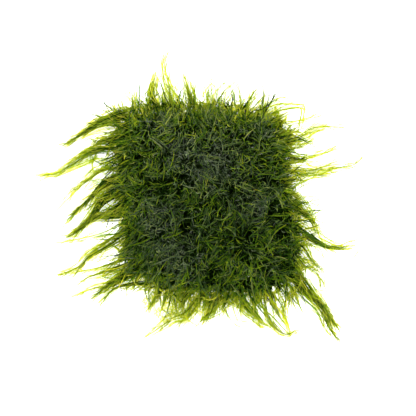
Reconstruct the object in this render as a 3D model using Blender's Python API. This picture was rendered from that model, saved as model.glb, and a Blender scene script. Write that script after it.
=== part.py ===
"""Spiky moss (Taxiphyllum) growing on a square of welded steel mesh, as it lies on a flat surface.

Two pieces: the mesh, whose crossing wires are welded into one sheet, and the moss, one cushion
whose shoots stand up in tufts, hang over the mesh in tapered locks and root down through its
openings. Metres, +Z up, +X right and +Y up in the view from above. The origin is the middle of
the mesh's underside, on the wire that runs through it.
"""

import math
import random

import bmesh
import bpy
from mathutils import Vector, geometry, noise

MM = 0.001
SEED = 7

# Steel mesh
MESH_SIDE = 75 * MM
WIRE_PITCH = 6 * MM
WIRE_THICKNESS = 0.8 * MM
WELD_DEPTH = 0.15 * MM
WIRE_SIDES = 6

# Dense cushion
TOUCH_GAP = 0.3 * MM
CUSHION_CROWN = 14 * MM
CUSHION_RIM = 5.2 * MM
DOME_REACH = 36 * MM
DOME_ROUNDNESS = 2.4
LUMP_HEIGHT = 2.4 * MM
LUMP_SPACING = 17 * MM
OUTLINE_STEPS = 3
# Corner points of the cushion seen from above, in mm, clockwise from the top left
CUSHION_OUTLINE = [
    (-45, 44), (-25, 48), (0, 48.5), (25, 47), (36, 42), (42, 35), (43, 15), (47, -5),
    (50, -22), (48, -42), (40, -50), (5, -51), (-22, -47), (-37, -40), (-45, -28), (-46, -7),
    (-50, 8), (-48, 30),
]

# Tufts that stand up from the cushion, on every third point of a triangular grid
TUFT_GRID = 4.9 * MM
TUFT_EDGE_GAP = 2.4 * MM
TUFT_HEIGHTS = (3 * MM, 6 * MM)
TUFT_LEAN = 3 * MM
TUFT_SWIRL = 1.2
GRID_JITTER = 0.2

# Tufts that root down through the openings of the mesh
ROOT_ROWS = range(-3, 3)
ROOT_STEP = 2
ROOT_TOP = 2.2 * MM
ROOT_TIP = 1.1 * MM
ROOT_FLOOR = 0.5 * MM

# Locks
LOCK_SIDES = 5
LOCK_FLATNESS = 0.55
LOCK_TIP_RADIUS = 0.28 * MM
LOCK_TAPER = 0.8
LOCK_ROOT_HEIGHT = 4.4 * MM
LOCK_FLOOR = 0.45 * MM
LOCK_LANDING = 22 * MM
LOCK_FALL = 1.6
# Each lock is (width, [points from root to tip]) seen from above, in mm
LEFT_LOCKS = [
    (5.5, [(-38, 44), (-48, 42.5), (-58, 38.5), (-68, 33), (-77, 28)]),
    (1.6, [(-43, 34.5), (-54, 35.5), (-60, 34.3), (-68, 31.5)]),
    (2.5, [(-44, 32), (-55, 31.5), (-59, 28), (-64, 24), (-69, 21)]),
    (3.2, [(-43, 26), (-51.5, 25.5), (-59, 25), (-71.5, 18.5), (-80, 14), (-91, 13.5)]),
    (1.2, [(-57.5, 25.5), (-60, 19.5), (-60, 14.5)]),
    (1.2, [(-51.5, 25.5), (-54, 21), (-54, 17)]),
    (2.0, [(-45, 18), (-55.5, 15), (-61.5, 11), (-67.5, 6.5), (-71, 2.5), (-77, -2)]),
    (4.0, [(-45, 12.5), (-54, 8.5), (-61.5, 0.5), (-66.5, -4), (-74, -10.5)]),
    (6.0, [(-43, 8), (-50, 3), (-55.5, -1.5), (-60, -8), (-67, -15.5), (-75, -20)]),
    (3.0, [(-41, 0.5), (-49, -3.5), (-55.5, -7), (-65.5, -14)]),
    (3.0, [(-41, -5.5), (-49, -8.5), (-56.5, -9), (-64.5, -13.5)]),
    (1.6, [(-41, -12), (-50, -14.5), (-56.5, -17), (-64, -19), (-80, -22)]),
    (4.5, [(-40, -15.5), (-51.5, -23), (-58, -26.5), (-63, -29.5), (-67, -34), (-78.5, -39)]),
    (2.0, [(-40, -29), (-49, -32), (-55.5, -34), (-70, -37.5), (-75.5, -37)]),
    (2.0, [(-39, -32), (-50, -35.5), (-57, -38), (-63, -40), (-69.5, -45)]),
    (4.5, [(-37, -35), (-45.5, -40), (-50.5, -42.5), (-61.5, -51.5)]),
    (1.3, [(-36, -37), (-51.5, -44), (-59, -45), (-73, -50.5)]),
    (2.5, [(-27, -41), (-39, -43), (-47.5, -45), (-57.5, -54)]),
    (2.0, [(-27, -41), (-36, -44), (-42, -50.5)]),
]
BOTTOM_LOCKS = [
    (1.3, [(-25, -43), (-30.5, -45.5), (-30.5, -49.5), (-31, -58)]),
    (3.0, [(-22, -43), (-26.5, -48.5), (-31.5, -58)]),
    (3.0, [(-19, -44), (-22, -49.5), (-24, -57)]),
    (3.0, [(-14, -45), (-16.5, -50.5), (-16, -59)]),
    (3.5, [(-8, -46), (-12, -51), (-13.5, -60)]),
    (1.6, [(-3, -46), (-11.5, -57.5), (-18, -60.5), (-24, -65), (-34.5, -72)]),
    (1.3, [(-2, -47), (-9, -58.5), (-12.5, -62), (-18, -68)]),
    (6.0, [(6, -46), (3, -51.5), (0, -58), (-3, -64)]),
    (4.0, [(12, -46), (9.5, -51), (7, -58)]),
    (1.2, [(13, -46), (12.5, -52.5), (14, -58.5), (17, -63), (24, -61)]),
    (2.5, [(19, -46), (17.5, -52.5), (17, -61)]),
    (3.0, [(15, -46), (21, -55.5), (25, -60), (28, -64), (32.5, -64.5)]),
    (3.5, [(23, -46), (24, -52.5), (25, -60)]),
    (1.3, [(28, -46), (30, -57), (32, -62), (36, -67), (41, -69.5), (49, -66)]),
    (2.5, [(31, -45), (33, -52.5), (36, -58), (42, -67.5)]),
    (2.0, [(34, -45), (38.5, -53.5), (40.5, -60), (43.5, -71)]),
    (2.0, [(39, -44), (42, -50.5), (41, -59)]),
    (2.0, [(43, -43), (46, -51), (49.5, -58.5)]),
]
RIGHT_LOCKS = [
    (7.0, [(42, -34), (48.5, -42), (53.5, -48.5), (58.5, -54), (62, -59), (69, -67.5)]),
    (2.0, [(54, -49), (60.5, -58.5), (63, -66), (69.5, -74)]),
    (2.0, [(44, -28), (52, -33.5), (56, -36.5), (58, -41), (58.5, -48), (58.5, -55)]),
    (2.2, [(44, -27), (49.5, -33.5), (50.5, -41)]),
    (3.0, [(44, -19), (50, -24.5), (55.5, -33), (64, -37)]),
    (4.0, [(43, -12), (50, -17), (57, -21.5), (62.5, -24), (71.5, -24.5), (76, -29)]),
    (1.2, [(50, -16), (62, -21), (68, -23), (79, -18)]),
    (3.0, [(41, -2), (49, -6.5), (53, -11), (57, -18.5)]),
    (3.0, [(40, 3), (48.5, -2), (52.5, -8), (56, -14.5), (60, -23.5)]),
    (2.0, [(38, 6), (46, 2.5), (52, 2), (60, 3.5)]),
    (2.0, [(38, 8), (45, 7), (48.5, 9), (54.5, 11.5)]),
    (1.6, [(37, 10), (45, 11), (51, 13), (63.5, 14)]),
    (2.5, [(37, 12.5), (45, 13.5), (58.5, 15.5), (66, 17), (76, 19), (82, 24.5)]),
    (2.0, [(37, 16.5), (46, 17.5), (57, 16.5), (70, 22)]),
    (1.6, [(37, 19), (47.5, 20), (52.5, 19.5), (58.5, 21.5)]),
    (3.0, [(36, 20.5), (46, 21), (52, 23), (57, 24), (69, 27.5)]),
    (3.0, [(35, 25), (44, 27.5), (50, 28.5), (61.5, 36)]),
    (1.6, [(35, 27), (46.5, 30), (51, 33), (60.5, 38)]),
    (2.5, [(34, 29), (45, 31.5), (49.5, 34.5), (54, 37.5), (60, 38.5), (72, 38)]),
    (3.0, [(32, 32), (40, 35.5), (47.5, 38.5)]),
    (1.2, [(30, 38), (40, 40.5), (51, 42), (55, 44.5), (60.5, 48)]),
    (3.0, [(28, 39), (35, 42.5), (42.5, 46.5)]),
]
TOP_LOCKS = [
    (1.5, [(26, 41), (36, 46.5), (47.5, 48.5), (50, 46), (48, 40), (46, 34)]),
    (1.2, [(24, 42), (33.5, 48), (40, 50.5), (56.5, 52)]),
    (1.1, [(20, 43), (30.5, 47.5), (34, 51), (41.5, 54)]),
    (1.3, [(18, 44), (24.5, 49), (30.5, 57)]),
    (2.2, [(14, 44), (19.5, 49), (25.5, 59)]),
    (1.3, [(5, 45), (9, 52), (13.5, 58), (19.5, 65.5)]),
    (1.6, [(3, 45), (3.5, 53), (5.5, 58.5), (14, 63)]),
    (1.3, [(0, 45), (1, 53), (-0.5, 56), (2.5, 62)]),
    (2.5, [(-4, 45), (-4, 53)]),
    (1.8, [(-7, 45), (-7, 51.5), (-6.5, 59)]),
    (2.5, [(-9.5, 45), (-9.5, 53), (-10.5, 59.5), (-13.5, 68)]),
    (1.4, [(-13, 45), (-16, 54), (-20, 59.5), (-22.5, 68), (-21.5, 75), (-17.5, 82.5)]),
    (2.2, [(-18.5, 45), (-19.5, 52), (-21, 65)]),
    (2.5, [(-22, 44), (-23.5, 52), (-23, 59.5)]),
    (3.0, [(-26, 44), (-28, 51), (-29, 56), (-27, 68.5)]),
    (1.6, [(-29, 43), (-32.5, 50), (-38.5, 56)]),
    (1.6, [(-32, 43), (-37.5, 49.5), (-43.5, 55)]),
    (2.2, [(-38, 41), (-43.5, 45.5), (-44.5, 52)]),
    (1.6, [(-39, 41), (-47.5, 46.5), (-55, 47)]),
]
LOCKS = LEFT_LOCKS + BOTTOM_LOCKS + RIGHT_LOCKS + TOP_LOCKS

# Heights worked out from the sizes above
UPPER_WIRE_AXIS = WIRE_THICKNESS * 1.5 - WELD_DEPTH
MESH_TOP = UPPER_WIRE_AXIS + WIRE_THICKNESS / 2
CUSHION_BASE = MESH_TOP + TOUCH_GAP


def clear_scene():
    """Removes every object that the file holds."""
    for obj in list(bpy.data.objects):
        bpy.data.objects.remove(obj)


def make_material(name, colour, roughness, metallic=0.0):
    """A Principled material of one colour."""
    material = bpy.data.materials.new(name)
    material.use_nodes = True
    shader = material.node_tree.nodes["Principled BSDF"]
    shader.inputs["Base Color"].default_value = (*colour, 1)
    shader.inputs["Roughness"].default_value = roughness
    shader.inputs["Metallic"].default_value = metallic
    return material


def make_object(name, bm, material, collection=None):
    """Turns a bmesh into an object, with its faces pointing out."""
    bmesh.ops.recalc_face_normals(bm, faces=bm.faces)
    mesh = bpy.data.meshes.new(name)
    bm.to_mesh(mesh)
    bm.free()
    mesh.materials.append(material)
    obj = bpy.data.objects.new(name, mesh)
    (collection or bpy.context.scene.collection).objects.link(obj)
    return obj


def helper_collection(name):
    """A collection for shapes that are fused into a node."""
    collection = bpy.data.collections.new(name)
    bpy.context.scene.collection.children.link(collection)
    return collection


def fuse(obj, helpers):
    """Joins a collection of helper shapes with the object into one body."""
    for helper in helpers.objects:
        helper.hide_render = True
        helper.display_type = "WIRE"
    union = obj.modifiers.new("Fuse", "BOOLEAN")
    union.operation = "UNION"
    union.operand_type = "COLLECTION"
    union.collection = helpers


def add_tube(bm, rings):
    """Skins a list of rings of points, closed by a face at each end."""
    loops = [[bm.verts.new(point) for point in ring] for ring in rings]
    count = len(loops[0])
    for first, second in zip(loops, loops[1:]):
        for i in range(count):
            j = (i + 1) % count
            bm.faces.new((first[i], first[j], second[j], second[i]))
    bm.faces.new(loops[0])
    bm.faces.new(loops[-1])


def wire_ring(along, across, height, runs_along_x):
    """The hexagonal section of a wire, with a flat side up and a flat side down."""
    corner_radius = WIRE_THICKNESS / 2 / math.cos(math.pi / WIRE_SIDES)
    ring = []
    for i in range(WIRE_SIDES):
        angle = 2 * math.pi * i / WIRE_SIDES
        side = across + corner_radius * math.cos(angle)
        up = height + corner_radius * math.sin(angle)
        ring.append(Vector((along, side, up) if runs_along_x else (side, along, up)))
    return ring


def wire_mesh(across, height, runs_along_x):
    """The bmesh of one straight wire."""
    bm = bmesh.new()
    ends = (-MESH_SIDE / 2, MESH_SIDE / 2)
    add_tube(bm, [wire_ring(end, across, height, runs_along_x) for end in ends])
    return bm


def wire_offsets():
    """Where the wires lie across the mesh, with one through its middle."""
    half_count = int(MESH_SIDE / 2 // WIRE_PITCH)
    return [i * WIRE_PITCH for i in range(-half_count, half_count + 1)]


def build_steel_mesh(material):
    """Lower wires along X and upper wires along Y, welded where they cross."""
    lower_wire_axis = WIRE_THICKNESS / 2
    helpers = helper_collection("wires")
    middle = make_object("steel_mesh", wire_mesh(0, lower_wire_axis, True), material)
    for offset in wire_offsets():
        if offset:
            make_object("lower_wire", wire_mesh(offset, lower_wire_axis, True), material, helpers)
        make_object("upper_wire", wire_mesh(offset, UPPER_WIRE_AXIS, False), material, helpers)
    fuse(middle, helpers)


def smooth_outline():
    """The cushion's outline as a closed curve through its corner points."""
    corners = [Vector(point) * MM for point in CUSHION_OUTLINE]
    count = len(corners)
    points = []
    for i in range(count):
        before, start, end, after = (corners[(i + k) % count] for k in (-1, 0, 1, 2))
        handles = start + (end - before) / 6, end - (after - start) / 6
        curve = geometry.interpolate_bezier(start, *handles, end, OUTLINE_STEPS + 1)
        points += curve[:-1]
    return points


OUTLINE = smooth_outline()
OUTLINE_EDGES = list(zip(OUTLINE, OUTLINE[1:] + OUTLINE[:1]))


def is_in_outline(point):
    """Whether a point lies inside the cushion's outline, by counting crossings."""
    inside = False
    for a, b in OUTLINE_EDGES:
        if (a.y > point.y) != (b.y > point.y):
            if point.x < a.x + (point.y - a.y) / (b.y - a.y) * (b.x - a.x):
                inside = not inside
    return inside


def edge_distance(point, a, b):
    """How far a point is from the straight edge between a and b."""
    share = (point - a).dot(b - a) / (b - a).length_squared
    return (a + (b - a) * min(max(share, 0), 1) - point).length


def depth_inside(point):
    """How far inside the outline a point lies, below zero outside it."""
    distance = min(edge_distance(point, a, b) for a, b in OUTLINE_EDGES)
    return distance if is_in_outline(point) else -distance


def cushion_height(point, depth):
    """Height of the cushion's upper side: a dome with low lumps."""
    share = min(1.0, depth / DOME_REACH)
    dome = CUSHION_RIM + (CUSHION_CROWN - CUSHION_RIM) * (1 - (1 - share) ** DOME_ROUNDNESS)
    lumps = noise.noise(Vector((point.x, point.y, 0)) / LUMP_SPACING) * LUMP_HEIGHT
    return dome + lumps * min(1.0, 2 * share)


def tuft_tip(point, height, dice):
    """The tip of a tuft, which leans outwards and a little round the middle."""
    if point.length:
        outwards = point.normalized()
    else:
        outwards = Vector((0, 0))
    turn = TUFT_SWIRL * noise.noise(Vector((point.x, point.y, 1)) / LUMP_SPACING)
    lean = Vector((outwards.x - turn * outwards.y, outwards.y + turn * outwards.x)) * TUFT_LEAN
    return Vector((point.x + lean.x, point.y + lean.y, height + dice.uniform(*TUFT_HEIGHTS)))


def crown_points():
    """Points of the cushion's top, on a loose triangular grid, with tufts standing between."""
    dice = random.Random(SEED)
    row_step = TUFT_GRID * math.sqrt(3) / 2
    reach = int(max(corner.length for corner in OUTLINE) / row_step) + 1
    points = []
    for row in range(-reach, reach + 1):
        for column in range(-2 * reach, 2 * reach + 1):
            point = Vector(((column + row / 2) * TUFT_GRID, row * row_step))
            point += Vector((dice.uniform(-1, 1), dice.uniform(-1, 1))) * GRID_JITTER * TUFT_GRID
            depth = depth_inside(point)
            if depth < TUFT_EDGE_GAP:
                continue
            height = cushion_height(point, depth)
            if (column - row) % 3 == 0:
                points.append((point, tuft_tip(point, height, dice)))
            else:
                points.append((point, Vector((point.x, point.y, height))))
    return points


def cushion_mesh():
    """The dense cushion: a tufted crown, an upright rim and a flat underside."""
    crown = crown_points()
    plan = OUTLINE + [point for point, top in crown]
    count = len(OUTLINE)
    edges = [(i, (i + 1) % count) for i in range(count)]
    top_faces = geometry.delaunay_2d_cdt(plan, edges, [], 1, 1e-7)[2]
    under_faces = geometry.delaunay_2d_cdt(OUTLINE, edges, [], 1, 1e-7)[2]

    bm = bmesh.new()
    tops = [Vector((point.x, point.y, CUSHION_RIM)) for point in OUTLINE]
    tops += [top for point, top in crown]
    top_verts = [bm.verts.new(point) for point in tops]
    under_verts = [bm.verts.new((point.x, point.y, CUSHION_BASE)) for point in OUTLINE]
    for face in top_faces:
        bm.faces.new([top_verts[i] for i in face])
    for face in under_faces:
        bm.faces.new([under_verts[i] for i in face])
    for i, j in edges:
        bm.faces.new((top_verts[i], top_verts[j], under_verts[j], under_verts[i]))
    return bm


def lock_height(point, thickness):
    """Height of a lock's middle: level in the cushion, then falling until it lies down."""
    lowest = LOCK_FLOOR + thickness
    outside = max(0.0, -depth_inside(point))
    fall = max(0.0, 1 - outside / LOCK_LANDING) ** LOCK_FALL
    return lowest + (LOCK_ROOT_HEIGHT - lowest) * fall


def lock_mesh(width, plan):
    """A flattened tapering lock that arches off the cushion and comes down to the surface."""
    points = [Vector(point) * MM for point in plan]
    lengths = [0.0]
    for a, b in zip(points, points[1:]):
        lengths.append(lengths[-1] + (b - a).length)
    rings = []
    for i, point in enumerate(points):
        heading = (points[min(i + 1, len(points) - 1)] - points[max(i - 1, 0)]).normalized()
        sideways = Vector((-heading.y, heading.x, 0))
        taper = (1 - lengths[i] / lengths[-1]) ** LOCK_TAPER
        radius = LOCK_TIP_RADIUS + (width * MM / 2 - LOCK_TIP_RADIUS) * taper
        thickness = max(radius * LOCK_FLATNESS, LOCK_TIP_RADIUS)
        centre = Vector((point.x, point.y, lock_height(point, thickness)))
        ring = []
        for k in range(LOCK_SIDES):
            angle = 2 * math.pi * (k + 0.25) / LOCK_SIDES
            across = sideways * radius * math.cos(angle)
            ring.append(centre + across + Vector((0, 0, thickness * math.sin(angle))))
        rings.append(ring)
    bm = bmesh.new()
    add_tube(bm, rings)
    return bm


def root_tuft_mesh(x, y):
    """A short tuft that tapers down from the cushion through one opening of the mesh."""
    rings = []
    for height, half in ((CUSHION_BASE + TOUCH_GAP, ROOT_TOP), (ROOT_FLOOR, ROOT_TIP)):
        corners = ((-half, -half), (half, -half), (half, half), (-half, half))
        rings.append([Vector((x + dx, y + dy, height)) for dx, dy in corners])
    bm = bmesh.new()
    add_tube(bm, rings)
    return bm


def build_moss(material):
    """The cushion with its locks and root tufts fused on."""
    helpers = helper_collection("shoots")
    moss = make_object("spiky_moss", cushion_mesh(), material)
    for width, plan in LOCKS:
        make_object("lock", lock_mesh(width, plan), material, helpers)
    openings = [(i * ROOT_STEP + 0.5) * WIRE_PITCH for i in ROOT_ROWS]
    for x in openings:
        for y in openings:
            make_object("root_tuft", root_tuft_mesh(x, y), material, helpers)
    fuse(moss, helpers)


def main():
    clear_scene()
    build_steel_mesh(make_material("stainless_steel", (0.42, 0.42, 0.40), 0.35, 1.0))
    build_moss(make_material("moss_green", (0.075, 0.13, 0.02), 0.6))


main()
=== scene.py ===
"""Looks of a spiky moss cushion grown over a square of steel mesh, seen from straight above.

The moss is made of leafy shoots: each is a curve with rows of small pointed leaves along it, and
a piece is all the shoots of one kind, joined in one mesh. Shoots of the fringe follow the locks
of the model. Shoots of the cushion lean outwards near its edge and any way in its middle. Each
leaf has its tone as a colour: red is its age, from dark to lime, with painted shade mixed in
where the leaf lies deep and painted light and shade in dashes along its shoot, green its luck,
which shifts hue and lightness from shoot to shoot, and blue its greyness, a painted grey sheen
of wet leaves. Metres, in the model's frame.
"""
from collections import namedtuple

import bpy
import numpy as np
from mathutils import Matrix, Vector, noise


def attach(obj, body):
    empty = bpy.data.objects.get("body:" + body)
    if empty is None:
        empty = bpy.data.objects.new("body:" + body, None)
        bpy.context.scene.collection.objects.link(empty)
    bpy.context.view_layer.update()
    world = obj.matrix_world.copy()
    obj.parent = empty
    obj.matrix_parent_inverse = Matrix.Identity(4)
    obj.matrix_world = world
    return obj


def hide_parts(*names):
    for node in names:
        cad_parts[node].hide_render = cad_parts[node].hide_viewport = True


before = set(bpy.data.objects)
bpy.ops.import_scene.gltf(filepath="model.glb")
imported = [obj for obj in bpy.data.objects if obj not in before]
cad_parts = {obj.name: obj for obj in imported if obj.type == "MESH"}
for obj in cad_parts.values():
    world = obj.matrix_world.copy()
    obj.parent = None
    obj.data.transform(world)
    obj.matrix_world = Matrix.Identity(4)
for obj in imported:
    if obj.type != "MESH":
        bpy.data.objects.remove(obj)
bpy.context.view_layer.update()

MM = 0.001

# Photograph: its scale, the pixel over the middle of the mesh, and half the cushion's side
PHOTO_SIDE = 416
MM_PER_PIXEL = 0.52
MIDDLE_PIXEL = (208, 201)
HALF_SIDE = 40 * MM
CAMERA_HEIGHT = 0.7
SENSOR = 36

# Cushion, as in the model
CUSHION_CROWN = 14 * MM
CUSHION_RIM = 5.2 * MM
DOME_REACH = 36 * MM
DOME_ROUNDNESS = 2.4
LUMP_HEIGHT = 2.4 * MM
LUMP_SPACING = 17 * MM
OUTLINE_STEPS = 4
CUSHION_OUTLINE = [
    (-45, 44), (-25, 48), (0, 48.5), (25, 47), (36, 42), (42, 35), (43, 15), (47, -5),
    (50, -22), (48, -42), (40, -50), (5, -51), (-22, -47), (-37, -40), (-45, -28), (-46, -7),
    (-50, 8), (-48, 30),
]

# Steel mesh, as in the model
WIRE_PITCH = 6 * MM
MESH_SIDE = 75 * MM

# Locks, as in the model: (width, [points from root to tip]) seen from above, in mm
LOCK_ROOT_HEIGHT = 4.4 * MM
LOCK_FLOOR = 0.45 * MM
LOCK_LANDING = 22 * MM
LOCK_FALL = 1.6
LEFT_LOCKS = [
    (5.5, [(-38, 44), (-48, 42.5), (-58, 38.5), (-68, 33), (-77, 28)]),
    (1.6, [(-43, 34.5), (-54, 35.5), (-60, 34.3), (-68, 31.5)]),
    (2.5, [(-44, 32), (-55, 31.5), (-59, 28), (-64, 24), (-69, 21)]),
    (3.2, [(-43, 26), (-51.5, 25.5), (-59, 25), (-71.5, 18.5), (-80, 14), (-91, 13.5)]),
    (1.2, [(-57.5, 25.5), (-60, 19.5), (-60, 14.5)]),
    (1.2, [(-51.5, 25.5), (-54, 21), (-54, 17)]),
    (2.0, [(-45, 18), (-55.5, 15), (-61.5, 11), (-67.5, 6.5), (-71, 2.5), (-77, -2)]),
    (4.0, [(-45, 12.5), (-54, 8.5), (-61.5, 0.5), (-66.5, -4), (-74, -10.5)]),
    (6.0, [(-43, 8), (-50, 3), (-55.5, -1.5), (-60, -8), (-67, -15.5), (-75, -20)]),
    (3.0, [(-41, 0.5), (-49, -3.5), (-55.5, -7), (-65.5, -14)]),
    (3.0, [(-41, -5.5), (-49, -8.5), (-56.5, -9), (-64.5, -13.5)]),
    (1.6, [(-41, -12), (-50, -14.5), (-56.5, -17), (-64, -19), (-80, -22)]),
    (4.5, [(-40, -15.5), (-51.5, -23), (-58, -26.5), (-63, -29.5), (-67, -34), (-78.5, -39)]),
    (2.0, [(-40, -29), (-49, -32), (-55.5, -34), (-70, -37.5), (-75.5, -37)]),
    (2.0, [(-39, -32), (-50, -35.5), (-57, -38), (-63, -40), (-69.5, -45)]),
    (4.5, [(-37, -35), (-45.5, -40), (-50.5, -42.5), (-61.5, -51.5)]),
    (1.3, [(-36, -37), (-51.5, -44), (-59, -45), (-73, -50.5)]),
    (2.5, [(-27, -41), (-39, -43), (-47.5, -45), (-57.5, -54)]),
    (2.0, [(-27, -41), (-36, -44), (-42, -50.5)]),
]
BOTTOM_LOCKS = [
    (1.3, [(-25, -43), (-30.5, -45.5), (-30.5, -49.5), (-31, -58)]),
    (3.0, [(-22, -43), (-26.5, -48.5), (-31.5, -58)]),
    (3.0, [(-19, -44), (-22, -49.5), (-24, -57)]),
    (3.0, [(-14, -45), (-16.5, -50.5), (-16, -59)]),
    (3.5, [(-8, -46), (-12, -51), (-13.5, -60)]),
    (1.6, [(-3, -46), (-11.5, -57.5), (-18, -60.5), (-24, -65), (-34.5, -72)]),
    (1.3, [(-2, -47), (-9, -58.5), (-12.5, -62), (-18, -68)]),
    (6.0, [(6, -46), (3, -51.5), (0, -58), (-3, -64)]),
    (4.0, [(12, -46), (9.5, -51), (7, -58)]),
    (1.2, [(13, -46), (12.5, -52.5), (14, -58.5), (17, -63), (24, -61)]),
    (2.5, [(19, -46), (17.5, -52.5), (17, -61)]),
    (3.0, [(15, -46), (21, -55.5), (25, -60), (28, -64), (32.5, -64.5)]),
    (3.5, [(23, -46), (24, -52.5), (25, -60)]),
    (1.3, [(28, -46), (30, -57), (32, -62), (36, -67), (41, -69.5), (49, -66)]),
    (2.5, [(31, -45), (33, -52.5), (36, -58), (42, -67.5)]),
    (2.0, [(34, -45), (38.5, -53.5), (40.5, -60), (43.5, -71)]),
    (2.0, [(39, -44), (42, -50.5), (41, -59)]),
    (2.0, [(43, -43), (46, -51), (49.5, -58.5)]),
]
RIGHT_LOCKS = [
    (5.5, [(42, -34), (48.5, -42), (53.5, -48.5), (58.5, -54), (62, -59), (69, -67.5)]),
    (2.0, [(54, -49), (60.5, -58.5), (63, -66), (69.5, -74)]),
    (2.0, [(44, -28), (52, -33.5), (56, -36.5), (58, -41), (58.5, -48), (58.5, -55)]),
    (2.2, [(44, -27), (49.5, -33.5), (50.5, -41)]),
    (3.0, [(44, -19), (50, -24.5), (55.5, -33), (64, -37)]),
    (3.8, [(43, -12), (50, -17), (57, -21.5), (62.5, -24), (71.5, -24.5), (75, -24.5)]),
    (1.2, [(50, -16), (62, -21), (68, -23), (79, -18)]),
    (3.0, [(41, -2), (49, -6.5), (53, -11), (57, -18.5)]),
    (3.0, [(40, 3), (48.5, -2), (52.5, -8), (56, -14.5), (60, -23.5)]),
    (2.0, [(38, 6), (46, 2.5), (52, 2), (60, 3.5)]),
    (2.0, [(38, 8), (45, 7), (48.5, 9), (54.5, 11.5)]),
    (1.6, [(37, 10), (45, 11), (51, 13), (63.5, 14)]),
    (2.5, [(37, 12.5), (45, 13.5), (58.5, 15.5), (66, 17), (76, 19), (82, 24.5)]),
    (2.0, [(37, 16.5), (46, 17.5), (57, 16.5), (70, 22)]),
    (1.6, [(37, 19), (47.5, 20), (52.5, 19.5), (58.5, 21.5)]),
    (3.0, [(36, 20.5), (46, 21), (52, 23), (57, 24), (69, 27.5)]),
    (3.0, [(35, 25), (44, 27.5), (50, 28.5), (61.5, 36)]),
    (1.6, [(35, 27), (46.5, 30), (51, 33), (60.5, 38)]),
    (2.5, [(34, 29), (45, 31.5), (49.5, 34.5), (54, 37.5), (60, 38.5), (72, 38)]),
    (3.0, [(32, 32), (40, 35.5), (47.5, 38.5)]),
    (1.2, [(30, 38), (40, 40.5), (51, 42), (55, 44.5), (60.5, 48)]),
    (3.0, [(28, 39), (35, 42.5), (42.5, 46.5)]),
]
TOP_LOCKS = [
    (1.5, [(26, 41), (36, 46.5), (47.5, 48.5), (50, 46), (48, 40), (46, 34)]),
    (1.2, [(24, 42), (33.5, 48), (40, 50.5), (56.5, 52)]),
    (1.1, [(20, 43), (30.5, 47.5), (34, 51), (41.5, 54)]),
    (1.3, [(18, 44), (24.5, 49), (30.5, 57)]),
    (1.7, [(14, 44), (19.5, 49), (25.5, 59)]),
    (1.3, [(5, 45), (9, 52), (13.5, 58), (19.5, 65.5)]),
    (1.6, [(3, 45), (3.5, 53), (5.5, 58.5), (14, 63)]),
    (1.3, [(0, 45), (1, 53), (-0.5, 56), (2.5, 62)]),
    (2.5, [(-4, 45), (-4, 53)]),
    (1.8, [(-7, 45), (-7, 51.5), (-6.5, 59)]),
    (2.5, [(-9.5, 45), (-9.5, 53), (-10.5, 59.5), (-13.5, 68)]),
    (1.4, [(-13, 45), (-16, 54), (-20, 59.5), (-22.5, 68), (-21.5, 75), (-17.5, 82.5)]),
    (2.2, [(-18.5, 45), (-19.5, 52), (-21, 65)]),
    (2.5, [(-22, 44), (-23.5, 52), (-23, 59.5)]),
    (3.0, [(-26, 44), (-28, 51), (-29, 56), (-27, 68.5)]),
    (1.6, [(-29, 43), (-32.5, 50), (-38.5, 56)]),
    (1.6, [(-32, 43), (-37.5, 49.5), (-43.5, 55)]),
    (2.2, [(-38, 41), (-43.5, 45.5), (-44.5, 52)]),
    (1.6, [(-39, 41), (-47.5, 46.5), (-55, 47)]),
]

# Leaves: each spans LEAF_BASE_NODES steps of its stem, and its tip lies at LEAF_TIP_NODES.
# Rows of leaves are given as (angle round the stem, size).
LEAF_SPACING = 0.6 * MM
LEAF_BASE_NODES = 2
LEAF_TIP_NODES = 3
LEAF_REACH = 0.52 * MM
LEAF_TAPER = 0.6
LEAF_UP_HINT = np.array((0.12, 0.2, 1.0))
FLAT_ROWS = ((0, 1), (np.pi, 1))
ROUND_ROWS = ((0, 1), (np.pi, 1), (np.pi / 2, 0.6))
FLOOR_GAP = 0.3 * MM

# Ages of leaves, where True is for shaded shoots
LEAF_LIGHTER = 0.06
LEAF_TIP_LIGHTER = {True: 0.0, False: 0.15}
LEAF_UNEVENNESS = {True: 0.17, False: 0.06}
# Painted light and shade: lighter and darker dashes along each shoot
DASH_STRENGTH = 0.05
DASH_PACES = (8, 25)
DASH_STARTS = (0, 6.3)
# Youth of the cushion's shoots, lime towards its edge: partly young growth and partly a painted
# glow of the light through the fringe
MIDDLE_YOUTH = 0.37
EDGE_YOUTH_AND_GLOW = 0.43
EDGE_BAND = 11 * MM

# Shade of leaves: by depth under the cushion's surface, or by depth inside its outline
SHADE_DEPTH = 2.3 * MM
SHADE_START = 1.0 * MM
SHADE_POWER = 2.0
SHADE_EDGE = 6 * MM
DEEPEST_SHADE = 0.15
DEEP_FROM = 0.5 * MM
DEEP_TO = 10 * MM
DEEP_SHADE = 0.58

# Places on the leaves' map: where it starts and how far it runs, and the size of a leaf on it
GREY_LEVELS = 4
MAP_ACROSS = (0.01, 0.97)
MAP_UP = (0.02, 0.94)
LEAF_ON_MAP = ((0, 0), (0.004, 0), (0, 0.004))

# Locks: what their strands do, by width or by a coordinate of their roots, in mm
LOCK_SAMPLES = 80
LOCK_INWARDS = 8
AXIS_SHARE = 0.45
LIME_BELOW = 2.3
BLUNT_FROM = 5
LEFT_LOCKS_BELOW = -30
LOWER_LOCKS_BELOW = -42
SPRIG_EVERY = 11

# Other shoots
ANY_WAY = (0, 2 * np.pi)
GAP_STRENGTH = 0.88
THIN_SAMPLES = 60
DARK_SHOOT_BELOW = 0.3
TUFT_SPACING = 9 * MM
LONG_LEAN = 4.1
LONG_SHOOT_PLACES = (((27, -24), 24), ((-32, -24), 22))
RIM_MORE_ABOVE_AND_BELOW = 0.4
ROOT_TOP = 3.2 * MM
ROOT_LENGTH = 2.6 * MM

# Hue and lightness of the shoots of the lowest and of the highest luck
HUES = (0.535, 0.48)
LIGHTNESSES = (0.3, 1.7)

GRID_STEP = 1 * MM
GRID_MARGIN = 45 * MM

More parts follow.
